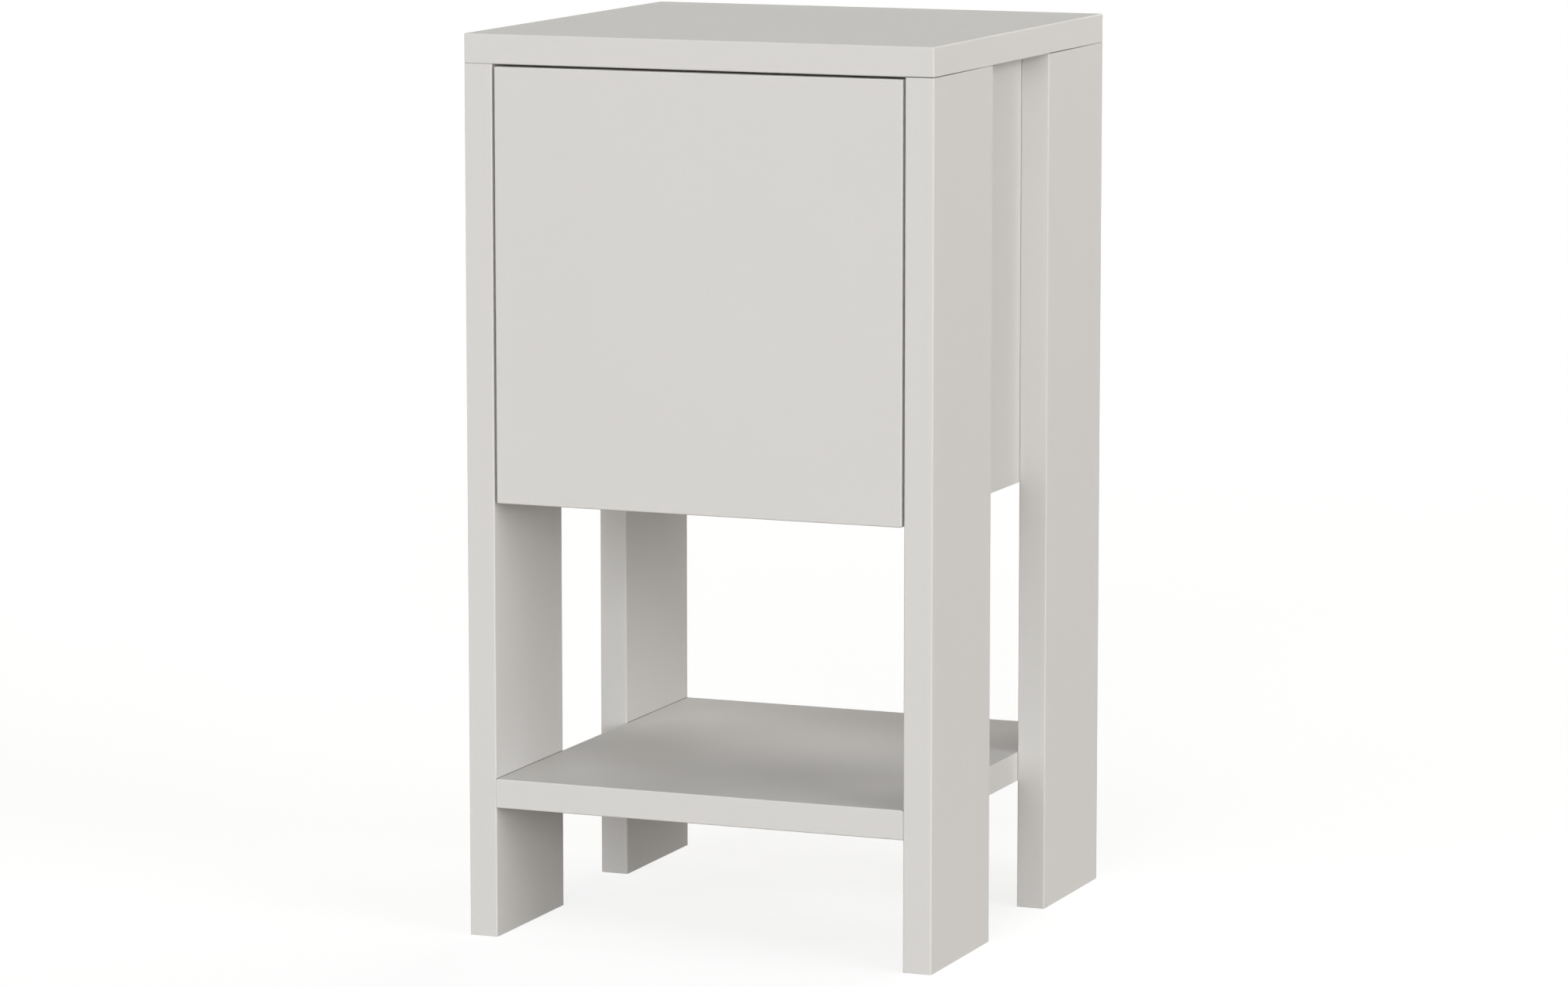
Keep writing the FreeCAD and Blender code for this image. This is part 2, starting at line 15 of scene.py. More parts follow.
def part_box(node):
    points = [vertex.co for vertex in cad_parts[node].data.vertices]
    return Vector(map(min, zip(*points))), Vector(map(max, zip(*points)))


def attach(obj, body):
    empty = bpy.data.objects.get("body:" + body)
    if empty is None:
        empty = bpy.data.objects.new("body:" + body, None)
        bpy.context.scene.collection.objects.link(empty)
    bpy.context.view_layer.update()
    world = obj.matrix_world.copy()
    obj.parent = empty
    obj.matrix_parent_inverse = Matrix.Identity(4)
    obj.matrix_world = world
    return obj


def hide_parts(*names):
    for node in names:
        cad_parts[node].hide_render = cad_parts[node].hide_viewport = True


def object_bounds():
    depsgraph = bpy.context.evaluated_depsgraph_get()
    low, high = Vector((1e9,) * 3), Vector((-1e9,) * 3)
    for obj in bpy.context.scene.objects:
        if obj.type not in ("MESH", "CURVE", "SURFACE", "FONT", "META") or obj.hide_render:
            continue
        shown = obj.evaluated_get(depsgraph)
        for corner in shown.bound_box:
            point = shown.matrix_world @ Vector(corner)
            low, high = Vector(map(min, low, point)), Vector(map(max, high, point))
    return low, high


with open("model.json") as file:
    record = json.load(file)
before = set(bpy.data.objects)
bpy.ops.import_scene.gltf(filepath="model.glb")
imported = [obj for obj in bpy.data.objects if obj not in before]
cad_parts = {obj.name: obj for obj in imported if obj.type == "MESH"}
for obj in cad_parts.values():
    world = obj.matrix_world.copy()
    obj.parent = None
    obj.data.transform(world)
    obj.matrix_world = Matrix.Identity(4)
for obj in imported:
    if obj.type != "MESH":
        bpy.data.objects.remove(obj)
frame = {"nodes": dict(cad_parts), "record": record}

bl_info = {
    "name": "Nightstand",
    "version": (1, 0, 0),
    "blender": (4, 5, 0),
    "location": "View3D > Sidebar > Nightstand",
    "description": "Finishes, hardware and studio of a slim nightstand with one door",
    "category": "Object",
}

CAD_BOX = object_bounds()
RECORD_COLOURS = {slot["slot"]: slot["base_color"][:3] for slot in frame["record"]["materials"]}

BOARDS = ("top_panel", "front_left_leg", "front_right_leg", "rear_left_leg", "rear_right_leg",
          "left_side_panel", "right_side_panel", "bottom_panel", "lower_shelf", "door")
EDGE_BANDS = ("top_edge_bands", "leg_edge_bands", "side_edge_bands", "bottom_edge_band",
              "shelf_edge_bands", "door_edge_bands")
HINGE_SHEET_PARTS = ("cup", "claw", "arm", "plate")
HINGE_PINS = ("cup_pin", "arm_pin")
HINGES = ("lower", "upper")
SCREWS = ("floor_screws", "leg_screws", "hinge_arm_screws", "hinge_cup_screws",
          "hinge_plate_screws", "latch_screws")
CAM_FITTINGS = ("top_cams", "shelf_cams", "top_cam_bolts", "shelf_cam_bolts")
DOWELS = ("top_dowels", "shelf_dowels")

# Lights: name of the setting, degrees to the right of the front, degrees above the floor and
# degrees that the light spans. The two low ones only reach upright faces behind and on the left.
LIGHTS = (("front_left_light", -24.0, 14.0, 45.0), ("front_light", 14.0, 6.0, 45.0),
          ("right_light", 75.0, 10.0, 45.0), ("high_front_light", -15.0, 50.0, 45.0),
          ("high_rear_light", 162.0, 44.0, 45.0),
          ("left_light", -95.0, 0.5, 12.0), ("rear_light", 180.0, 0.5, 12.0))
# Colour settings of the lights that aren't white
LIGHT_COLOURS = {"front_left_light": "front_colour", "front_light": "front_colour",
                 "high_front_light": "front_colour", "high_rear_light": "shade_colour"}
LIGHT_DISTANCE = 3.0
SENSOR_WIDTH = 36.0             # millimetres

# Steps of the meshes
AROUND = 48                     # sides of a turned piece
FLOOR_SIDES = 96                # sides of the round floor
ARC_STEPS = 5                   # steps of a rounded corner
SIDE_STEPS = 8                  # steps of a straight side
ROUND_STEPS = 3                 # steps of a rounded end
EDGE_STEPS = 2                  # steps of a softened edge
WIRE_SIDES = 10                 # sides of the spring's wire
SHARP_ANGLE = math.radians(38)  # edges that turn more than this stay crisp
CORNER_MERGE = 1e-6             # corners nearer than this are one

# Fixed values of the finishes
COAT_SPECULAR = 0.2             # shine of the boards and of the edge bands
BAND_ROUGHNESS = 0.44           # least roughness of the edge bands
CHIP_ROUGHNESS = 0.85           # roughness of the raw chips
ROUGHNESS_SPREAD = 0.10         # how far a fine pattern changes a roughness
RAW_DEPTH = 0.0005              # raw edges lie within this of the outside, in metres
SQUARE_ON = 0.9                 # a face looks along an axis from this share of its normal on

# Fixed sizes of the painted shade lines in the joints and of the finer hardware, in metres
JOINT_LINE = 0.0005             # width of the painted shade lines in the joints of the legs
JOINT_OPEN = 0.02               # the top's joint is open, with full painted shade, to here from the front of a leg
JOINT_TIGHT = 0.09              # and tight, without painted shade, from here
ADJUSTER_HEIGHT = 0.0010        # head of an adjusting screw
SIDE_SCREW_TURN = math.radians(20)   # slot of the side adjusting screws
DEPTH_CAM_TURN = math.radians(-35)   # slot of the depth adjusting cams
HOUSING_RISE = 1.2              # height of the latch housing by its width
BORE_PLAY = 0.00005             # play of the plunger in its bore
MOUTH_CHAMFER = 0.0006          # chamfer round the bore's mouth
TAB_HALF_LENGTH = 0.012         # half of a screw tab along the housing
TAB_THICK = 0.002
TAB_ROUNDING = 0.6              # corner of a screw tab by its half height
TAB_HOLE = 0.0019               # radius of the hole in a screw tab
SCREW_HEAD_RADIUS = 0.0035      # head of a latch screw
STRIKE_POCKET = 0.0034          # radius of the pocket for the strike's screw
STRIKE_FLOOR = 0.25             # floor of that pocket by the strike's thickness
STRIKE_SHANK = 0.0015           # radius of the hole in the strike
STRIKE_PLAY = 0.0001            # play round the strike's screw


def colour_property(name, description, default):
    return FloatVectorProperty(name=name, description=description, subtype="COLOR", size=3,
                               min=0.0, max=1.0, default=default)


class NIGHTSTAND_PG_finishes(bpy.types.PropertyGroup):
    """Colours and surface of the boards, the bands and the hardware."""

    board: colour_property(
        "Board", "Coating of the boards", (0.706, 0.694, 0.678))
    edge_band: colour_property(
        "Edge band", "Glued edge strips of the boards", (0.710, 0.698, 0.682))
    chips: colour_property(
        "Chips", "Raw core on the edges without a band", (0.600, 0.470, 0.330))
    hardboard: colour_property(
        "Hardboard", "Painted thin back panel", RECORD_COLOURS["hardboard"])
    nickel: colour_property(
        "Nickel", "Plated sheet steel of the hinges", RECORD_COLOURS["nickel_steel"])
    zinc: colour_property(
        "Zinc", "Plated screws and cam fittings", RECORD_COLOURS["zinc_screw"])
    bare_steel: colour_property(
        "Bare steel", "Pins, magnet, strike and spring", RECORD_COLOURS["pin_steel"])
    beech: colour_property(
        "Beech", "Dowels", (0.640, 0.450, 0.260))
    plastic: colour_property(
        "Plastic", "Moulded housing and plunger of the latch",
        RECORD_COLOURS["latch_plastic"])
    # Painted shade: darkness of the lines in the joints of the legs
    joint_shade_tone: FloatProperty(
        name="Joint tone", description="Tone of the joint lines of the legs",
        subtype="FACTOR", min=0.0, max=1.0, default=0.35)
    board_roughness: FloatProperty(
        name="Board roughness", description="Roughness of the coating", subtype="FACTOR",
        min=0.0, max=1.0, default=0.54)


def size_property(name, description, default):
    return FloatProperty(name=name, description=description, unit="LENGTH", precision=5,
                         min=0.0, default=default)


class NIGHTSTAND_PG_hardware(bpy.types.PropertyGroup):
    """Sizes of the finer hardware."""

    board_arris: size_property(
        "Board arris", "Broken edge of the shelf board where it meets the legs", 0.0004)
    metal_edge: size_property(
        "Metal edge", "Softened edge of the stamped and turned metal", 0.0003)
    plastic_edge: size_property(
        "Plastic edge", "Radius on the ends of the latch housing", 0.0008)
    housing_corner: size_property(
        "Housing corner", "Radius along the latch housing", 0.0018)
    housing_collar: size_property(
        "Housing collar", "Length of the thicker front of the latch housing", 0.014)
    housing_step: size_property(
        "Housing step", "How far the rear of the latch housing is set in", 0.0006)
    parting_line: size_property(
        "Parting line", "Depth of the moulding line along the latch housing", 0.0004)
    adjuster_radius: size_property(
        "Adjuster radius", "Head of the side adjusting screw of a hinge", 0.0026)
    adjuster_offset: size_property(
        "Adjuster offset", "Adjusting screws from the fixing screw of the hinge arm", 0.013)
    depth_cam_radius: size_property(
        "Depth cam radius", "Head of the depth adjusting cam of a hinge", 0.0038)
    screw_slot: size_property(
        "Screw slot", "Width and depth of the slot in a slotted screw", 0.0007)
    spring_wire: size_property(
        "Spring wire", "Thickness of the wire of the latch spring", 0.0009)
    spring_turns: IntProperty(
        name="Spring turns", description="Turns of the latch spring", min=1, default=7)


def light_property(name, description, default):
    return FloatProperty(name=name, description=description, min=0.0, default=default)


class NIGHTSTAND_PG_stage(bpy.types.PropertyGroup):
    """Floor, light and camera."""

    floor_radius: FloatProperty(
        name="Floor radius", description="Radius of the round floor", unit="LENGTH",
        min=1.0, default=40.0)
    floor_colour: colour_property(
        "Floor", "Colour of the floor in bounced light", (0.19, 0.145, 0.10))
    floor_shadow: FloatProperty(
        name="Floor shadow", description="Part of the floor that takes light and shadow",
        subtype="FACTOR", min=0.0, max=1.0, default=0.35)
    floor_glow: FloatProperty(
        name="Floor glow", description="White of the floor that the shadow doesn't reach",
        min=0.0, max=1.0, default=0.80)
    sky: light_property(
        "Sky", "Even light from all round", 0.06)
    shade_colour: colour_property(
        "Shade", "Colour of the even light and of the high light behind", (1.0, 0.96, 0.88))
    front_colour: colour_property(
        "Front light colour", "Colour of the lights from the front", (0.985, 0.995, 1.0))
    front_left_light: light_property(
        "Front left light", "Soft light from the front, on the left", 0.177)
    front_light: light_property(
        "Front light", "Soft light from the front", 0.805)
    right_light: light_property(
        "Right light", "Soft light from the right", 0.675)
    high_front_light: light_property(
        "High front light", "Weak light from above the front", 0.092)
    high_rear_light: light_property(
        "High rear light", "Weak light from above, behind on the right", 0.205)
    left_light: light_property(
        "Left light", "Low light on the left side", 0.60)
    rear_light: light_property(
        "Rear light", "Low light on the back", 0.66)
    camera_place: FloatVectorProperty(
        name="Camera place", description="Camera from the middle of the footprint",
        subtype="TRANSLATION", unit="LENGTH", size=3, default=(1.4165, -3.5347, 0.8221))
    camera_pitch: FloatProperty(
        name="Camera pitch", description="Camera below the horizon",
        subtype="ANGLE", unit="ROTATION", default=math.radians(8.4006))
    camera_yaw: FloatProperty(
        name="Camera yaw", description="Camera turned to the left of straight back",
        subtype="ANGLE", unit="ROTATION", default=math.radians(21.896))
    camera_lens: FloatProperty(
        name="Lens", description="Focal length on a 36 mm sensor", min=1.0, default=143.18)


class NIGHTSTAND_PG_settings(bpy.types.PropertyGroup):
    """All settings of the nightstand."""

    finishes: PointerProperty(type=NIGHTSTAND_PG_finishes)
    hardware: PointerProperty(type=NIGHTSTAND_PG_hardware)
    stage: PointerProperty(type=NIGHTSTAND_PG_stage)


class Wire:
    """A node's output. Sums on wires add Math nodes to the recipe."""

    def __init__(self, recipe, socket):
        self.recipe = recipe
        self.socket = socket

    def math(self, operation, first, second):
        return self.recipe.node("ShaderNodeMath", {"operation": operation}, {0: first, 1: second})

    def __add__(self, other):
        return self.math("ADD", self, other)

    def __radd__(self, other):
        return self.math("ADD", other, self)

    def __sub__(self, other):
        return self.math("SUBTRACT", self, other)

    def __rsub__(self, other):
        return self.math("SUBTRACT", other, self)

    def __mul__(self, other):
        return self.math("MULTIPLY", self, other)

    def __rmul__(self, other):
        return self.math("MULTIPLY", other, self)

    def __gt__(self, other):
        return self.math("GREATER_THAN", self, other)

    def __lt__(self, other):
        return self.math("LESS_THAN", self, other)

    def __abs__(self):
        return self.math("ABSOLUTE", self, 0.0)


class Recipe:
    """The nodes of one finish, of the floor or of the sky."""

    def __init__(self, tree):
        self.tree = tree
        tree.nodes.clear()

    def node(self, kind, settings=None, inputs=None, output=0):
        """Adds a node, sets it, fills its inputs with values or wires and returns one output."""
        node = self.tree.nodes.new(kind)
        for name, value in (settings or {}).items():
            setattr(node, name, value)
        for key, value in (inputs or {}).items():
            if isinstance(value, Wire):
                self.tree.links.new(value.socket, node.inputs[key])
            else:
                node.inputs[key].default_value = value
        return Wire(self, node.outputs[output]) if node.outputs else None

    def place(self, stretch=(1.0, 1.0, 1.0)):
        """Place on the piece in metres, stretched along its axes. It moves with the piece."""
        place = self.node("ShaderNodeTexCoord", output="Object")
        if stretch == (1.0, 1.0, 1.0):
            return place
        return self.node("ShaderNodeVectorMath", {"operation": "MULTIPLY"}, {0: place, 1: stretch})

    def axis(self, vector, letter):
        return self.node("ShaderNodeSeparateXYZ", None, {0: vector}, letter)

    def noise(self, place, scale, detail=2.0, roughness=0.5):
        return self.node("ShaderNodeTexNoise", {"noise_dimensions": "3D"},
                         {"Vector": place, "Scale": scale, "Detail": detail,
                          "Roughness": roughness}, "Fac")

    def mix(self, share, first, second):
        """Colour between two colours."""
        return self.node("ShaderNodeMix", {"data_type": "RGBA"}, {0: share, 6: first, 7: second}, 2)

    def tones(self, share, colour, dark, light):
        """Colour between a darker and a lighter tone of one colour."""
        return self.mix(share, rgba(colour, dark), rgba(colour, light))

    def bump(self, height, depth, strength):
        return self.node("ShaderNodeBump", None,
                         {"Strength": strength, "Distance": depth, "Height": height}, "Normal")

    def surface(self, inputs):
        """Closes a finish with its shader."""
        shader = self.node("ShaderNodeBsdfPrincipled", None, inputs)
        self.node("ShaderNodeOutputMaterial", None, {"Surface": shader})


def rgba(colour, tone=1.0):
    return tuple(min(1.0, part * tone) for part in colour) + (1.0,)


def new_finish(name):
    finish = bpy.data.materials.new(name)
    finish.use_nodes = True
    return finish, Recipe(finish.node_tree)


def coated_board(finishes):
    """Matt coating with a fine pearl, painted shade lines in the joints of the legs, and raw chips
    on edges without a band.
    """
    finish, recipe = new_finish("coated_board")
    place = recipe.place()
    cloud = recipe.noise(place, scale=9.0, detail=3.0)
    fleck = recipe.noise(place, scale=900.0)
    pearl = recipe.noise(place, scale=1500.0, detail=1.0)
    coat = recipe.tones(0.5 * cloud + 0.5 * fleck, finishes.board, dark=0.965, light=1.035)
    # Painted shade in the joints where the legs meet the shelf and the top
    coat = recipe.mix(painted_joint_shade(recipe, place), coat, rgba(finishes.board, finishes.joint_shade_tone))
    matt = finishes.board_roughness + ROUGHNESS_SPREAD * (fleck - 0.5)
    raw = raw_edges(recipe, place)
    recipe.surface({
        "Base Color": recipe.mix(raw, coat, raw_chips(recipe, finishes)),
        "Roughness": matt * (1 - raw) + CHIP_ROUGHNESS * raw,
        "Specular IOR Level": COAT_SPECULAR,
        "Normal": recipe.bump(pearl, depth=0.00004, strength=0.25),
    })
    return finish


def raw_edges(recipe, place):
    """One on the rear edges of the boards and under the feet, and nought elsewhere."""
    facing = recipe.node("ShaderNodeTexCoord", output="Normal")
    lowest, highest = CAD_BOX
    rear = ((recipe.axis(facing, "Y") > SQUARE_ON)
            * (recipe.axis(place, "Y") > highest.y - RAW_DEPTH))
    foot = ((recipe.axis(facing, "Z") < -SQUARE_ON)
            * (recipe.axis(place, "Z") < lowest.z + RAW_DEPTH))
    return rear + foot


def painted_joint_shade(recipe, place):
    """Painted shade lines where the legs meet the shelf and the top, standing for the shade in
    the joints. The top's joint is tight on the left, with no painted shade, and on the right
    it opens towards the front of each leg, with painted shade that grows there."""
    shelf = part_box("lower_shelf")[1]
    front_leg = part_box("front_right_leg")[0]
    rear_leg, leg_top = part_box("rear_right_leg")
    x, y, rise = (recipe.axis(place, letter) for letter in "XYZ")
    shelf_end = (abs(x) > shelf.x - JOINT_LINE) * (abs(x) < shelf.x + JOINT_LINE / 4)
    shelf_face = (rise > shelf.z - JOINT_LINE) * (rise < shelf.z + JOINT_LINE / 2)
    leg_end = (rise > leg_top.z - JOINT_LINE / 4) * (rise < leg_top.z + JOINT_LINE)
    along_leg = y - front_leg.y - (rear_leg.y - front_leg.y) * (y > 0.0)
    # Painted shade fades from the open front of the top's joint to where it is tight
    shade_share = recipe.node("ShaderNodeMapRange", None, {
        "Value": along_leg, "From Min": JOINT_OPEN, "From Max": JOINT_TIGHT, "To Min": 1.0,
        "To Max": 0.0})
    return (abs(y) > rear_leg.y) * (shelf_end * shelf_face + (x > rear_leg.x) * leg_end * shade_share)


def raw_chips(recipe, finishes):
    """Pressed wood chips, lying along the board."""
    place = recipe.place((1.0, 1.0, 0.35))
    chip = recipe.node("ShaderNodeTexVoronoi", {"feature": "F1"},
                       {"Vector": place, "Scale": 520.0, "Randomness": 1.0}, "Color")
    grey = recipe.node("ShaderNodeRGBToBW", None, {0: chip})
    return recipe.tones(grey, finishes.chips, dark=0.78, light=1.18)


def edge_band(finishes):
    """Smooth plastic strip, a little lighter than the boards."""
    finish, recipe = new_finish("edge_band")
    place = recipe.place()
    fleck = recipe.noise(place, scale=700.0)
    strip = recipe.tones(fleck, finishes.edge_band, dark=0.98, light=1.02)
    recipe.surface({
        # Painted shade in the joints where the legs meet the shelf and the top
        "Base Color": recipe.mix(painted_joint_shade(recipe, place), strip,
                                 rgba(finishes.edge_band, finishes.joint_shade_tone)),
        "Roughness": BAND_ROUGHNESS + ROUGHNESS_SPREAD * fleck,
        "Specular IOR Level": COAT_SPECULAR,
        "Normal": recipe.bump(fleck, depth=0.00002, strength=0.15),
    })
    return finish


def painted_hardboard(finishes):
    """Thin pressed fibre, painted, with the fibres just showing."""
    finish, recipe = new_finish("painted_hardboard")
    fibre = recipe.noise(recipe.place((1.0, 1.0, 0.4)), scale=700.0, detail=4.0, roughness=0.65)
    cloud = recipe.noise(recipe.place(), scale=18.0, detail=3.0)
    recipe.surface({
        "Base Color": recipe.tones(0.5 * fibre + 0.5 * cloud, finishes.hardboard,
                                   dark=0.93, light=1.05),
        "Roughness": 0.50 + 0.15 * fibre,
        "Normal": recipe.bump(fibre, depth=0.0001, strength=0.3),
    })
    return finish


def plated_metal(name, colour, roughness, grain):
    """Plated or bare metal with fine rolling lines along Y and light handling marks."""
    finish, recipe = new_finish(name)
    lines = recipe.noise(recipe.place((1.0, 0.06, 1.0)), scale=grain)
    marks = recipe.noise(recipe.place(), scale=160.0, detail=4.0, roughness=0.6)
    recipe.surface({
        "Base Color": recipe.tones(marks, colour, dark=0.88, light=1.08),
        "Metallic": 1.0,
        "Roughness": roughness - 0.08 + ROUGHNESS_SPREAD * lines + ROUGHNESS_SPREAD * marks,
        "Normal": recipe.bump(lines, depth=0.00002, strength=0.2),
    })
    return finish


def beech_dowel(finishes):
    """Bare beech with short dark rays."""
    finish, recipe = new_finish("beech_dowel")
    ray = recipe.noise(recipe.place((1.0, 1.0, 0.2)), scale=1400.0, detail=3.0)
    recipe.surface({
        "Base Color": recipe.tones(ray, finishes.beech, dark=0.75, light=1.15),
        "Roughness": 0.6 + 0.2 * ray,
        "Normal": recipe.bump(ray, depth=0.00005, strength=0.3),
    })
    return finish


def moulded_plastic(finishes):
    """Grey moulding with a fine spark-eroded grain."""
    finish, recipe = new_finish("moulded_plastic")
    grain = recipe.noise(recipe.place(), scale=2200.0)
    cloud = recipe.noise(recipe.place(), scale=60.0)
    recipe.surface({
        "Base Color": recipe.tones(cloud, finishes.plastic, dark=0.95, light=1.05),
        "Roughness": 0.42 + 0.15 * grain,
        "Normal": recipe.bump(grain, depth=0.00003, strength=0.3),
    })
    return finish


def dress(names, finish):
    """Gives CAD nodes a finish."""
    for name in names:
        piece = frame["nodes"][name]
        if not piece.material_slots:
            piece.data.materials.append(None)
        for slot in piece.material_slots:
            slot.material = finish


def hinge_nodes(parts):
    return [f"{level}_hinge_{part}" for level in HINGES for part in parts]


def soften(names, width):
    """Breaks the sharp edges of CAD nodes."""
    for name in names:
        piece = frame["nodes"][name]
        weld = piece.modifiers.new("joined_corners", "WELD")
        weld.merge_threshold = CORNER_MERGE
        bevel = piece.modifiers.new("soft_edges", "BEVEL")
        bevel.width = width
        bevel.segments = EDGE_STEPS
        bevel.limit_method = "ANGLE"
        bevel.angle_limit = SHARP_ANGLE
        bevel.harden_normals = True


def add_piece(name, fill, body, finish, stands_for=()):
    """Makes a piece with a function that fills its mesh, and lets it ride on a body."""
    mesh = bpy.data.meshes.new(name)
    bm = bmesh.new()
    fill(bm)
    bmesh.ops.recalc_face_normals(bm, faces=bm.faces)
    bm.to_mesh(mesh)
    bm.free()
    mesh.shade_smooth()
    mesh.set_sharp_from_angle(angle=SHARP_ANGLE)
    mesh.materials.append(finish)
    piece = bpy.data.objects.new(name, mesh)
    bpy.context.scene.collection.objects.link(piece)
    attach(piece, body)
    if stands_for:
        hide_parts(*stands_for)


def set_at(place, way, turn=0.0):
    """Places what is made along +Z from the origin at a point, along another way."""
    return (Matrix.Translation(place) @ Vector(way).to_track_quat("Z", "Y").to_matrix().to_4x4()
            @ Matrix.Rotation(turn, 4, "Z"))


def add_loop(bm, points, setting):
    return [bm.verts.new(setting @ Vector(point)) for point in points]


def join_loops(bm, first, second):
    """Faces between two closed loops with as many corners."""
    for step in range(len(first)):
        bm.faces.new((first[step - 1], first[step], second[step], second[step - 1]))


def join_ring(bm, loops):
    """Faces from loop to loop, and from the last to the first."""
    for before, after in zip(loops, loops[1:] + loops[:1]):
        join_loops(bm, before, after)


def circle(radius, height, sides=AROUND):
    angles = [math.tau * step / sides for step in range(sides)]
    return [(radius * math.cos(angle), radius * math.sin(angle), height) for angle in angles]


def add_turned_ring(bm, profile, setting):
    """Turns a closed profile of radius and height about the axis."""
    join_ring(bm, [add_loop(bm, circle(radius, height), setting) for radius, height in profile])


def add_slotted_screw(bm, head_radius, head_height, slot, shank_radius, shank_length, setting):
    """Screw with a straight slot. Its head stands on the origin and its shank points down."""
    lean = math.asin(slot / 2 / head_radius)
    steps = AROUND // 2
    half = [lean + (math.pi - 2 * lean) * step / steps for step in range(steps + 1)]
    angles = half + [angle + math.pi for angle in half]

    def rim(radius, height):
        return add_loop(bm, [(radius * math.cos(angle), radius * math.sin(angle), height)
                             for angle in angles], setting)

    floor = rim(head_radius, head_height - slot)
    top = rim(head_radius, head_height)
    seat = rim(head_radius, 0.0)
    join_loops(bm, seat, floor)
    for start in (0, steps + 1):
        low, high = floor[start:start + steps + 1], top[start:start + steps + 1]
        join_loops(bm, low, high)
        bm.faces.new(high)
    bm.faces.new((floor[0], floor[steps], floor[steps + 1], floor[-1]))
    neck = rim(shank_radius, 0.0)
    tip = rim(shank_radius, -shank_length)
    join_loops(bm, seat, neck)
    join_loops(bm, neck, tip)
    bm.faces.new(tip)


def rounded_outline(half_wide, half_high, corner, notch=0.0):
    """Rounded rectangle about the origin, with a fine notch in the middle of its left side."""
    arcs = []
    for turn, (right, up) in enumerate(((1, 1), (-1, 1), (-1, -1), (1, -1))):
        angles = [math.pi / 2 * (turn + step / ARC_STEPS) for step in range(ARC_STEPS + 1)]
        arcs.append([Vector((right * (half_wide - corner) + corner * math.cos(angle),
                             up * (half_high - corner) + corner * math.sin(angle)))
                     for angle in angles])
    points = []
    for turn, arc in enumerate(arcs):
        points += arc
        after = arcs[(turn + 1) % len(arcs)][0]
        side = [arc[-1].lerp(after, step / SIDE_STEPS) for step in range(1, SIDE_STEPS)]
        if notch and turn == 1:
            middle = len(side) // 2
            side[middle:middle + 1] = [Vector((-half_wide, notch)),
                                       Vector((notch - half_wide, 0.0)),
                                       Vector((-half_wide, -notch))]
        points += side
    return points


def in_direction(points, radius):
    """Points of a circle that face the given points."""
    return [point.normalized() * radius for point in points]


class NIGHTSTAND_OT_boards(bpy.types.Operator):
    """Coats the top, the legs, the box, the shelf and the door"""

    bl_idname = "nightstand.boards"
    bl_label = "Boards"

    def execute(self, context):
        settings = context.scene.nightstand
        dress(BOARDS, coated_board(settings.finishes))
        soften(["lower_shelf"], settings.hardware.board_arris)
        return {"FINISHED"}


class NIGHTSTAND_OT_edge_bands(bpy.types.Operator):
    """Finishes the glued strips on the edges of the boards"""

    bl_idname = "nightstand.edge_bands"
    bl_label = "Edge bands"

    def execute(self, context):
        dress(EDGE_BANDS, edge_band(context.scene.nightstand.finishes))
        return {"FINISHED"}


class NIGHTSTAND_OT_back_panel(bpy.types.Operator):
    """Paints the thin back panel"""

    bl_idname = "nightstand.back_panel"
    bl_label = "Back panel"

    def execute(self, context):
        dress(["back_panel"], painted_hardboard(context.scene.nightstand.finishes))
        return {"FINISHED"}


class NIGHTSTAND_OT_hinges(bpy.types.Operator):
    """Finishes the two concealed hinges and adds their adjusting screws"""

    bl_idname = "nightstand.hinges"
    bl_label = "Hinges"

    def execute(self, context):
        settings = context.scene.nightstand
        finishes, hardware = settings.finishes, settings.hardware
        nickel = plated_metal("nickel_plate", finishes.nickel, roughness=0.30, grain=1800.0)
        steel = plated_metal("pin_steel", finishes.bare_steel, roughness=0.35, grain=1500.0)
        zinc = plated_metal("adjuster_zinc", finishes.zinc, roughness=0.34, grain=1200.0)
        dress(hinge_nodes(HINGE_SHEET_PARTS), nickel)
        dress(hinge_nodes(HINGE_PINS), steel)
        soften(hinge_nodes(HINGE_SHEET_PARTS + HINGE_PINS), hardware.metal_edge)
        add_adjusters(hardware, zinc)
        return {"FINISHED"}


def add_adjusters(hardware, finish):
    """A side adjusting screw and a depth adjusting cam on the web of each hinge arm."""
    low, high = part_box("hinge_arm_screws")
    fixing_y = (low.y + high.y) / 2

    def on_each_arm(offset, radius, turn):
        """Fills a mesh with the same slotted head on both hinges."""
        def fill(bm):
            for level in HINGES:
                arm_low, arm_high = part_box(f"{level}_hinge_arm")
                place = (arm_high.x, fixing_y + offset, (arm_low.z + arm_high.z) / 2)
                add_slotted_screw(bm, radius, ADJUSTER_HEIGHT, hardware.screw_slot, radius / 2,
                                  ADJUSTER_HEIGHT, set_at(place, (1, 0, 0), turn))
        return fill

    side = on_each_arm(-hardware.adjuster_offset, hardware.adjuster_radius, SIDE_SCREW_TURN)
    depth = on_each_arm(hardware.adjuster_offset, hardware.depth_cam_radius, DEPTH_CAM_TURN)
    add_piece("hinge_side_screws", side, "cabinet", finish)
    add_piece("hinge_depth_cams", depth, "cabinet", finish)


class NIGHTSTAND_OT_latch(bpy.types.Operator):
    """Makes the moulded housing, the coil spring and the strike of the push latch"""

    bl_idname = "nightstand.latch"
    bl_label = "Push latch"

    def execute(self, context):
        settings = context.scene.nightstand
        finishes, hardware = settings.finishes, settings.hardware
        steel = plated_metal("latch_steel", finishes.bare_steel, roughness=0.38, grain=1500.0)
        zinc = plated_metal("strike_zinc", finishes.zinc, roughness=0.34, grain=1200.0)
        plastic = moulded_plastic(finishes)
        dress(["latch_magnet"], steel)
        dress(["latch_plunger"], plastic)
        soften(["latch_magnet", "latch_plunger"], hardware.metal_edge)
        mould_housing(hardware, plastic)
        wind_spring(hardware, steel)
        set_strike(hardware, steel, zinc)
        return {"FINISHED"}


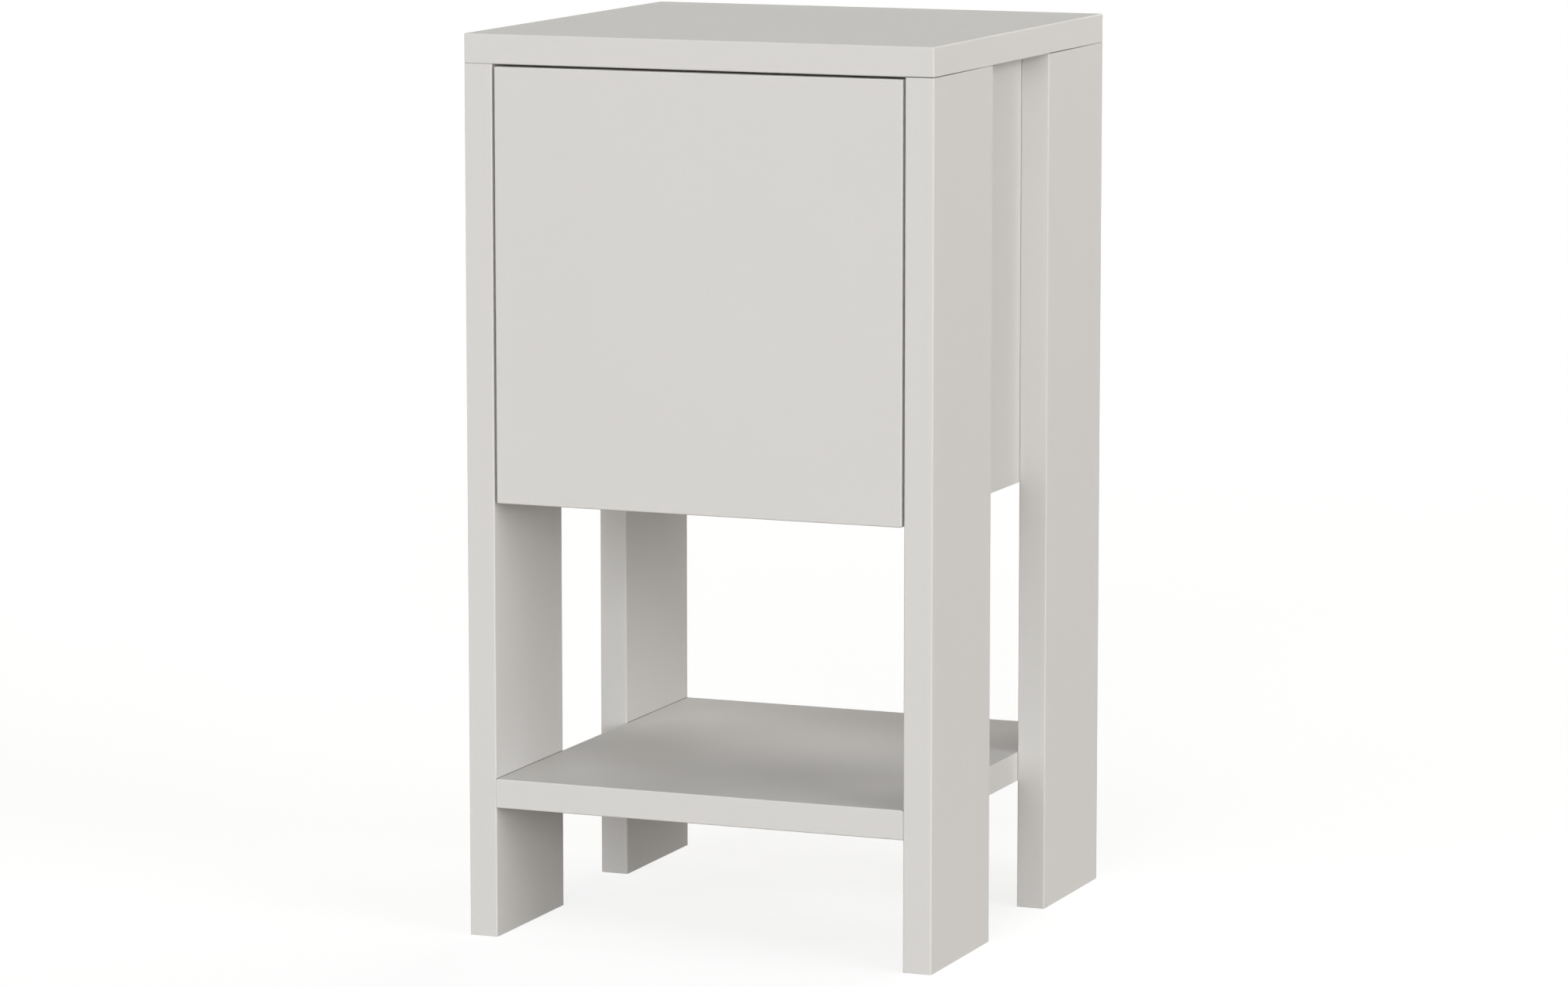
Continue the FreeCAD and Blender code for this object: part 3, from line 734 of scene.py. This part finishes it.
def mould_housing(hardware, finish):
    """Housing with a thicker front, a moulding line, a bore for the plunger and two screw tabs."""
    low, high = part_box("latch_housing")
    bore_low, bore_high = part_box("latch_plunger")
    spring_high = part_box("latch_spring")[1]
    screw_low, screw_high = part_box("latch_screws")
    half_wide = (high.x - low.x) / 2
    half_high = half_wide * HOUSING_RISE
    middle = (low + high) / 2
    bore = (bore_high.x - bore_low.x) / 2 + BORE_PLAY
    length = high.y - low.y
    setting = Matrix(((1, 0, 0, middle.x), (0, 0, 1, low.y), (0, 1, 0, middle.z), (0, 0, 0, 1)))
    turns = [math.pi / 2 * step / ROUND_STEPS for step in range(ROUND_STEPS + 1)]
    round_end = [(1 - math.sin(turn), 1 - math.cos(turn)) for turn in turns]
    edge, step_in = hardware.plastic_edge, hardware.housing_step
    stations = [(edge * inset, edge * along) for inset, along in round_end]
    stations += [(0.0, hardware.housing_collar), (step_in, hardware.housing_collar + step_in)]
    stations += [(step_in + edge * inset, length - edge * along)
                 for inset, along in reversed(round_end)]
    bore_stations = ((bore + MOUTH_CHAMFER, 0.0), (bore, MOUTH_CHAMFER),
                     (bore, spring_high.y - low.y + BORE_PLAY))

    def outline(inset):
        return rounded_outline(half_wide - inset, half_high - inset, hardware.housing_corner,
                               hardware.parting_line)

    def fill(bm):
        loops = [add_loop(bm, [(*point, along) for point in outline(inset)], setting)
                 for inset, along in stations]
        for before, after in zip(loops, loops[1:]):
            join_loops(bm, before, after)
        bm.faces.new(loops[-1])
        inside = loops[0]
        for radius, along in bore_stations:
            ring = [(*point, along) for point in in_direction(outline(edge), radius)]
            after = add_loop(bm, ring, setting)
            join_loops(bm, inside, after)
            inside = after
        bm.faces.new(inside)
        for side in (-1, 1):
            add_tab(bm, side)

    def add_tab(bm, side):
        """Screw tab on the box side, run a little way into the housing."""
        outer = high.z - middle.z
        inner = half_high - 2 * step_in
        rise, half = (outer + inner) / 2, (outer - inner) / 2
        screw_rise = (screw_high.z - screw_low.z) / 2 - SCREW_HEAD_RADIUS
        tab_y, tab_z = (screw_low.y + screw_high.y) / 2, middle.z + side * rise
        tab_setting = Matrix(((0, 0, -1, high.x), (1, 0, 0, tab_y), (0, 1, 0, tab_z),
                              (0, 0, 0, 1)))
        tab = rounded_outline(TAB_HALF_LENGTH, half, half * TAB_ROUNDING)
        hole_shift = Vector((0.0, side * (screw_rise - rise)))
        hole = [point + hole_shift for point in in_direction(tab, TAB_HOLE)]
        rings = ((hole, 0.0), (tab, 0.0), (tab, TAB_THICK), (hole, TAB_THICK))
        join_ring(bm, [add_loop(bm, [(*point, height) for point in points], tab_setting)
                       for points, height in rings])

    add_piece("latch_body", fill, "cabinet", finish, ("latch_housing",))


def wind_spring(hardware, finish):
    """Coil spring behind the plunger, closed at both ends."""
    low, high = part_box("latch_spring")
    wire = hardware.spring_wire / 2
    centre = ((low.x + high.x) / 2, (low.z + high.z) / 2)
    radius = (high.x - low.x) / 2 - wire
    start, end = low.y + wire, high.y - wire
    steps = hardware.spring_turns * AROUND // 2
    along = Vector((0.0, 1.0, 0.0))

    def fill(bm):
        before = None
        for step in range(steps + 1):
            share = step / steps
            angle = math.tau * hardware.spring_turns * share
            outward = Vector((math.cos(angle), 0.0, math.sin(angle)))
            place = Vector((centre[0], start + (end - start) * share, centre[1])) + outward * radius
            section = [place + outward * right + along * up
                       for right, up, _ in circle(wire, 0.0, WIRE_SIDES)]
            loop = add_loop(bm, section, Matrix.Identity(4))
            if before:
                join_loops(bm, before, loop)
            else:
                bm.faces.new(loop)
            before = loop
        bm.faces.new(before)

    add_piece("latch_coil", fill, "cabinet", finish, ("latch_spring",))


def set_strike(hardware, steel, zinc):
    """Round steel strike on the back of the door, held by a slotted screw let into it."""
    low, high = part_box("latch_strike")
    radius = (high.x - low.x) / 2
    door_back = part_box("door")[1].y
    sheet = high.y - door_back
    setting = set_at(((low.x + high.x) / 2, door_back, (low.z + high.z) / 2), (0, 1, 0))
    pocket, floor, edge = STRIKE_POCKET, sheet * STRIKE_FLOOR, hardware.metal_edge
    profile = ((STRIKE_SHANK, 0.0), (radius - edge, 0.0), (radius, edge), (radius, sheet - edge),
               (radius - edge, sheet), (pocket + edge, sheet), (pocket, sheet - edge),
               (pocket, floor), (STRIKE_SHANK, floor))
    seat = setting @ Matrix.Translation((0.0, 0.0, floor))
    length = door_back + floor - low.y

    def fill_plate(bm):
        add_turned_ring(bm, profile, setting)

    def fill_screw(bm):
        add_slotted_screw(bm, pocket - STRIKE_PLAY, sheet - floor - STRIKE_PLAY,
                          hardware.screw_slot, STRIKE_SHANK - STRIKE_PLAY, length, seat)

    add_piece("strike_plate", fill_plate, "door", steel, ("latch_strike",))
    add_piece("strike_screw", fill_screw, "door", zinc)


class NIGHTSTAND_OT_fasteners(bpy.types.Operator):
    """Finishes the screws, the cam fittings and the dowels"""

    bl_idname = "nightstand.fasteners"
    bl_label = "Screws, cams and dowels"

    def execute(self, context):
        settings = context.scene.nightstand
        zinc = plated_metal("zinc_plate", settings.finishes.zinc, roughness=0.36, grain=1200.0)
        dress(SCREWS + CAM_FITTINGS, zinc)
        soften(["top_cams", "shelf_cams"], settings.hardware.metal_edge)
        dress(DOWELS, beech_dowel(settings.finishes))
        return {"FINISHED"}


class NIGHTSTAND_OT_stage(bpy.types.Operator):
    """Lays the pale floor, hangs the light and sets up the camera"""

    bl_idname = "nightstand.stage"
    bl_label = "Stage"

    def execute(self, context):
        stage = context.scene.nightstand.stage
        lay_floor(stage)
        light_sky(context.scene, stage)
        hang_lights(context.scene, stage)
        set_camera(context.scene, stage)
        context.scene.view_settings.view_transform = "Standard"
        return {"FINISHED"}


def seen_rays(recipe):
    """One for rays from the camera, from gloss and through glass, and nought for bounced light."""
    camera, gloss, glass = (recipe.node("ShaderNodeLightPath", output=f"Is {kind} Ray")
                            for kind in ("Camera", "Glossy", "Transmission"))
    return (camera + gloss + glass) > 0.5


def lay_floor(stage):
    """A wide round floor, white to the eye but for the shadow."""
    mesh = bpy.data.meshes.new("studio_floor")
    ring = circle(stage.floor_radius, 0.0, FLOOR_SIDES)
    mesh.from_pydata(ring, [], [list(range(FLOOR_SIDES))])
    floor = bpy.data.objects.new("studio_floor", mesh)
    bpy.context.scene.collection.objects.link(floor)
    finish, recipe = new_finish("studio_floor")
    paper = recipe.node("ShaderNodeBsdfDiffuse", None, {"Color": rgba(stage.floor_colour)})
    glow = recipe.node("ShaderNodeEmission", None, {"Strength": stage.floor_glow})
    lit = recipe.node("ShaderNodeBsdfDiffuse", None, {"Color": (stage.floor_shadow,) * 3 + (1.0,)})
    seen = recipe.node("ShaderNodeAddShader", None, {0: glow, 1: lit})
    shader = recipe.node("ShaderNodeMixShader", None, {0: seen_rays(recipe), 1: paper, 2: seen})
    recipe.node("ShaderNodeOutputMaterial", None, {"Surface": shader})
    mesh.materials.append(finish)


def light_sky(scene, stage):
    """Even studio light, seen as white."""
    scene.world = bpy.data.worlds.new("studio_sky")
    scene.world.use_nodes = True
    recipe = Recipe(scene.world.node_tree)
    even = recipe.node("ShaderNodeBackground", None,
                       {"Color": rgba(stage.shade_colour), "Strength": stage.sky})
    white = recipe.node("ShaderNodeBackground", None, {"Color": (1.0,) * 4, "Strength": 1.0})
    shader = recipe.node("ShaderNodeMixShader", None, {0: seen_rays(recipe), 1: even, 2: white})
    recipe.node("ShaderNodeOutputWorld", None, {"Surface": shader})


def hang_lights(scene, stage):
    """Large soft lights round the nightstand."""
    for name, azimuth, elevation, spread in LIGHTS:
        lamp = bpy.data.lights.new(name, "SUN")
        lamp.energy = math.pi * getattr(stage, name)
        lamp.angle = math.radians(spread)
        if name in LIGHT_COLOURS:
            lamp.color = getattr(stage, LIGHT_COLOURS[name])
        light = bpy.data.objects.new(name, lamp)
        turn, rise = math.radians(azimuth), math.radians(elevation)
        towards = Vector((math.cos(rise) * math.sin(turn), -math.cos(rise) * math.cos(turn),
                          math.sin(rise)))
        light.rotation_mode = "QUATERNION"
        light.rotation_quaternion = towards.to_track_quat("Z", "Y")
        light.location = towards * LIGHT_DISTANCE
        scene.collection.objects.link(light)


def set_camera(scene, stage):
    """The camera at the photograph's angle."""
    camera = bpy.data.cameras.new("camera")
    camera.lens = stage.camera_lens
    camera.sensor_width = SENSOR_WIDTH
    camera.sensor_fit = "HORIZONTAL"
    view = bpy.data.objects.new("camera", camera)
    view.location = stage.camera_place
    view.rotation_euler = (math.pi / 2 - stage.camera_pitch, 0.0, stage.camera_yaw)
    scene.collection.objects.link(view)
    scene.camera = view


OPERATORS = (NIGHTSTAND_OT_boards, NIGHTSTAND_OT_edge_bands, NIGHTSTAND_OT_back_panel,
             NIGHTSTAND_OT_hinges, NIGHTSTAND_OT_latch, NIGHTSTAND_OT_fasteners,
             NIGHTSTAND_OT_stage)


class NIGHTSTAND_PT_sidebar(bpy.types.Panel):
    """Lists the steps and the settings of the nightstand"""

    bl_idname = "NIGHTSTAND_PT_sidebar"
    bl_label = "Nightstand"
    bl_space_type = "VIEW_3D"
    bl_region_type = "UI"
    bl_category = "Nightstand"

    def draw(self, context):
        settings = context.scene.nightstand
        for operator in OPERATORS:
            self.layout.operator(operator.bl_idname)
        for group in (settings.finishes, settings.hardware, settings.stage):
            box = self.layout.box()
            for name in group.__annotations__:
                box.prop(group, name)


CLASSES = (NIGHTSTAND_PG_finishes, NIGHTSTAND_PG_hardware, NIGHTSTAND_PG_stage,
           NIGHTSTAND_PG_settings, *OPERATORS, NIGHTSTAND_PT_sidebar)


def register():
    for cls in CLASSES:
        bpy.utils.register_class(cls)
    bpy.types.Scene.nightstand = PointerProperty(type=NIGHTSTAND_PG_settings)


def unregister():
    del bpy.types.Scene.nightstand
    for cls in reversed(CLASSES):
        bpy.utils.unregister_class(cls)


def main():
    register()
    bpy.ops.nightstand.boards()
    bpy.ops.nightstand.edge_bands()
    bpy.ops.nightstand.back_panel()
    bpy.ops.nightstand.hinges()
    bpy.ops.nightstand.latch()
    bpy.ops.nightstand.fasteners()
    bpy.ops.nightstand.stage()


if __name__ == "__main__":
    main()
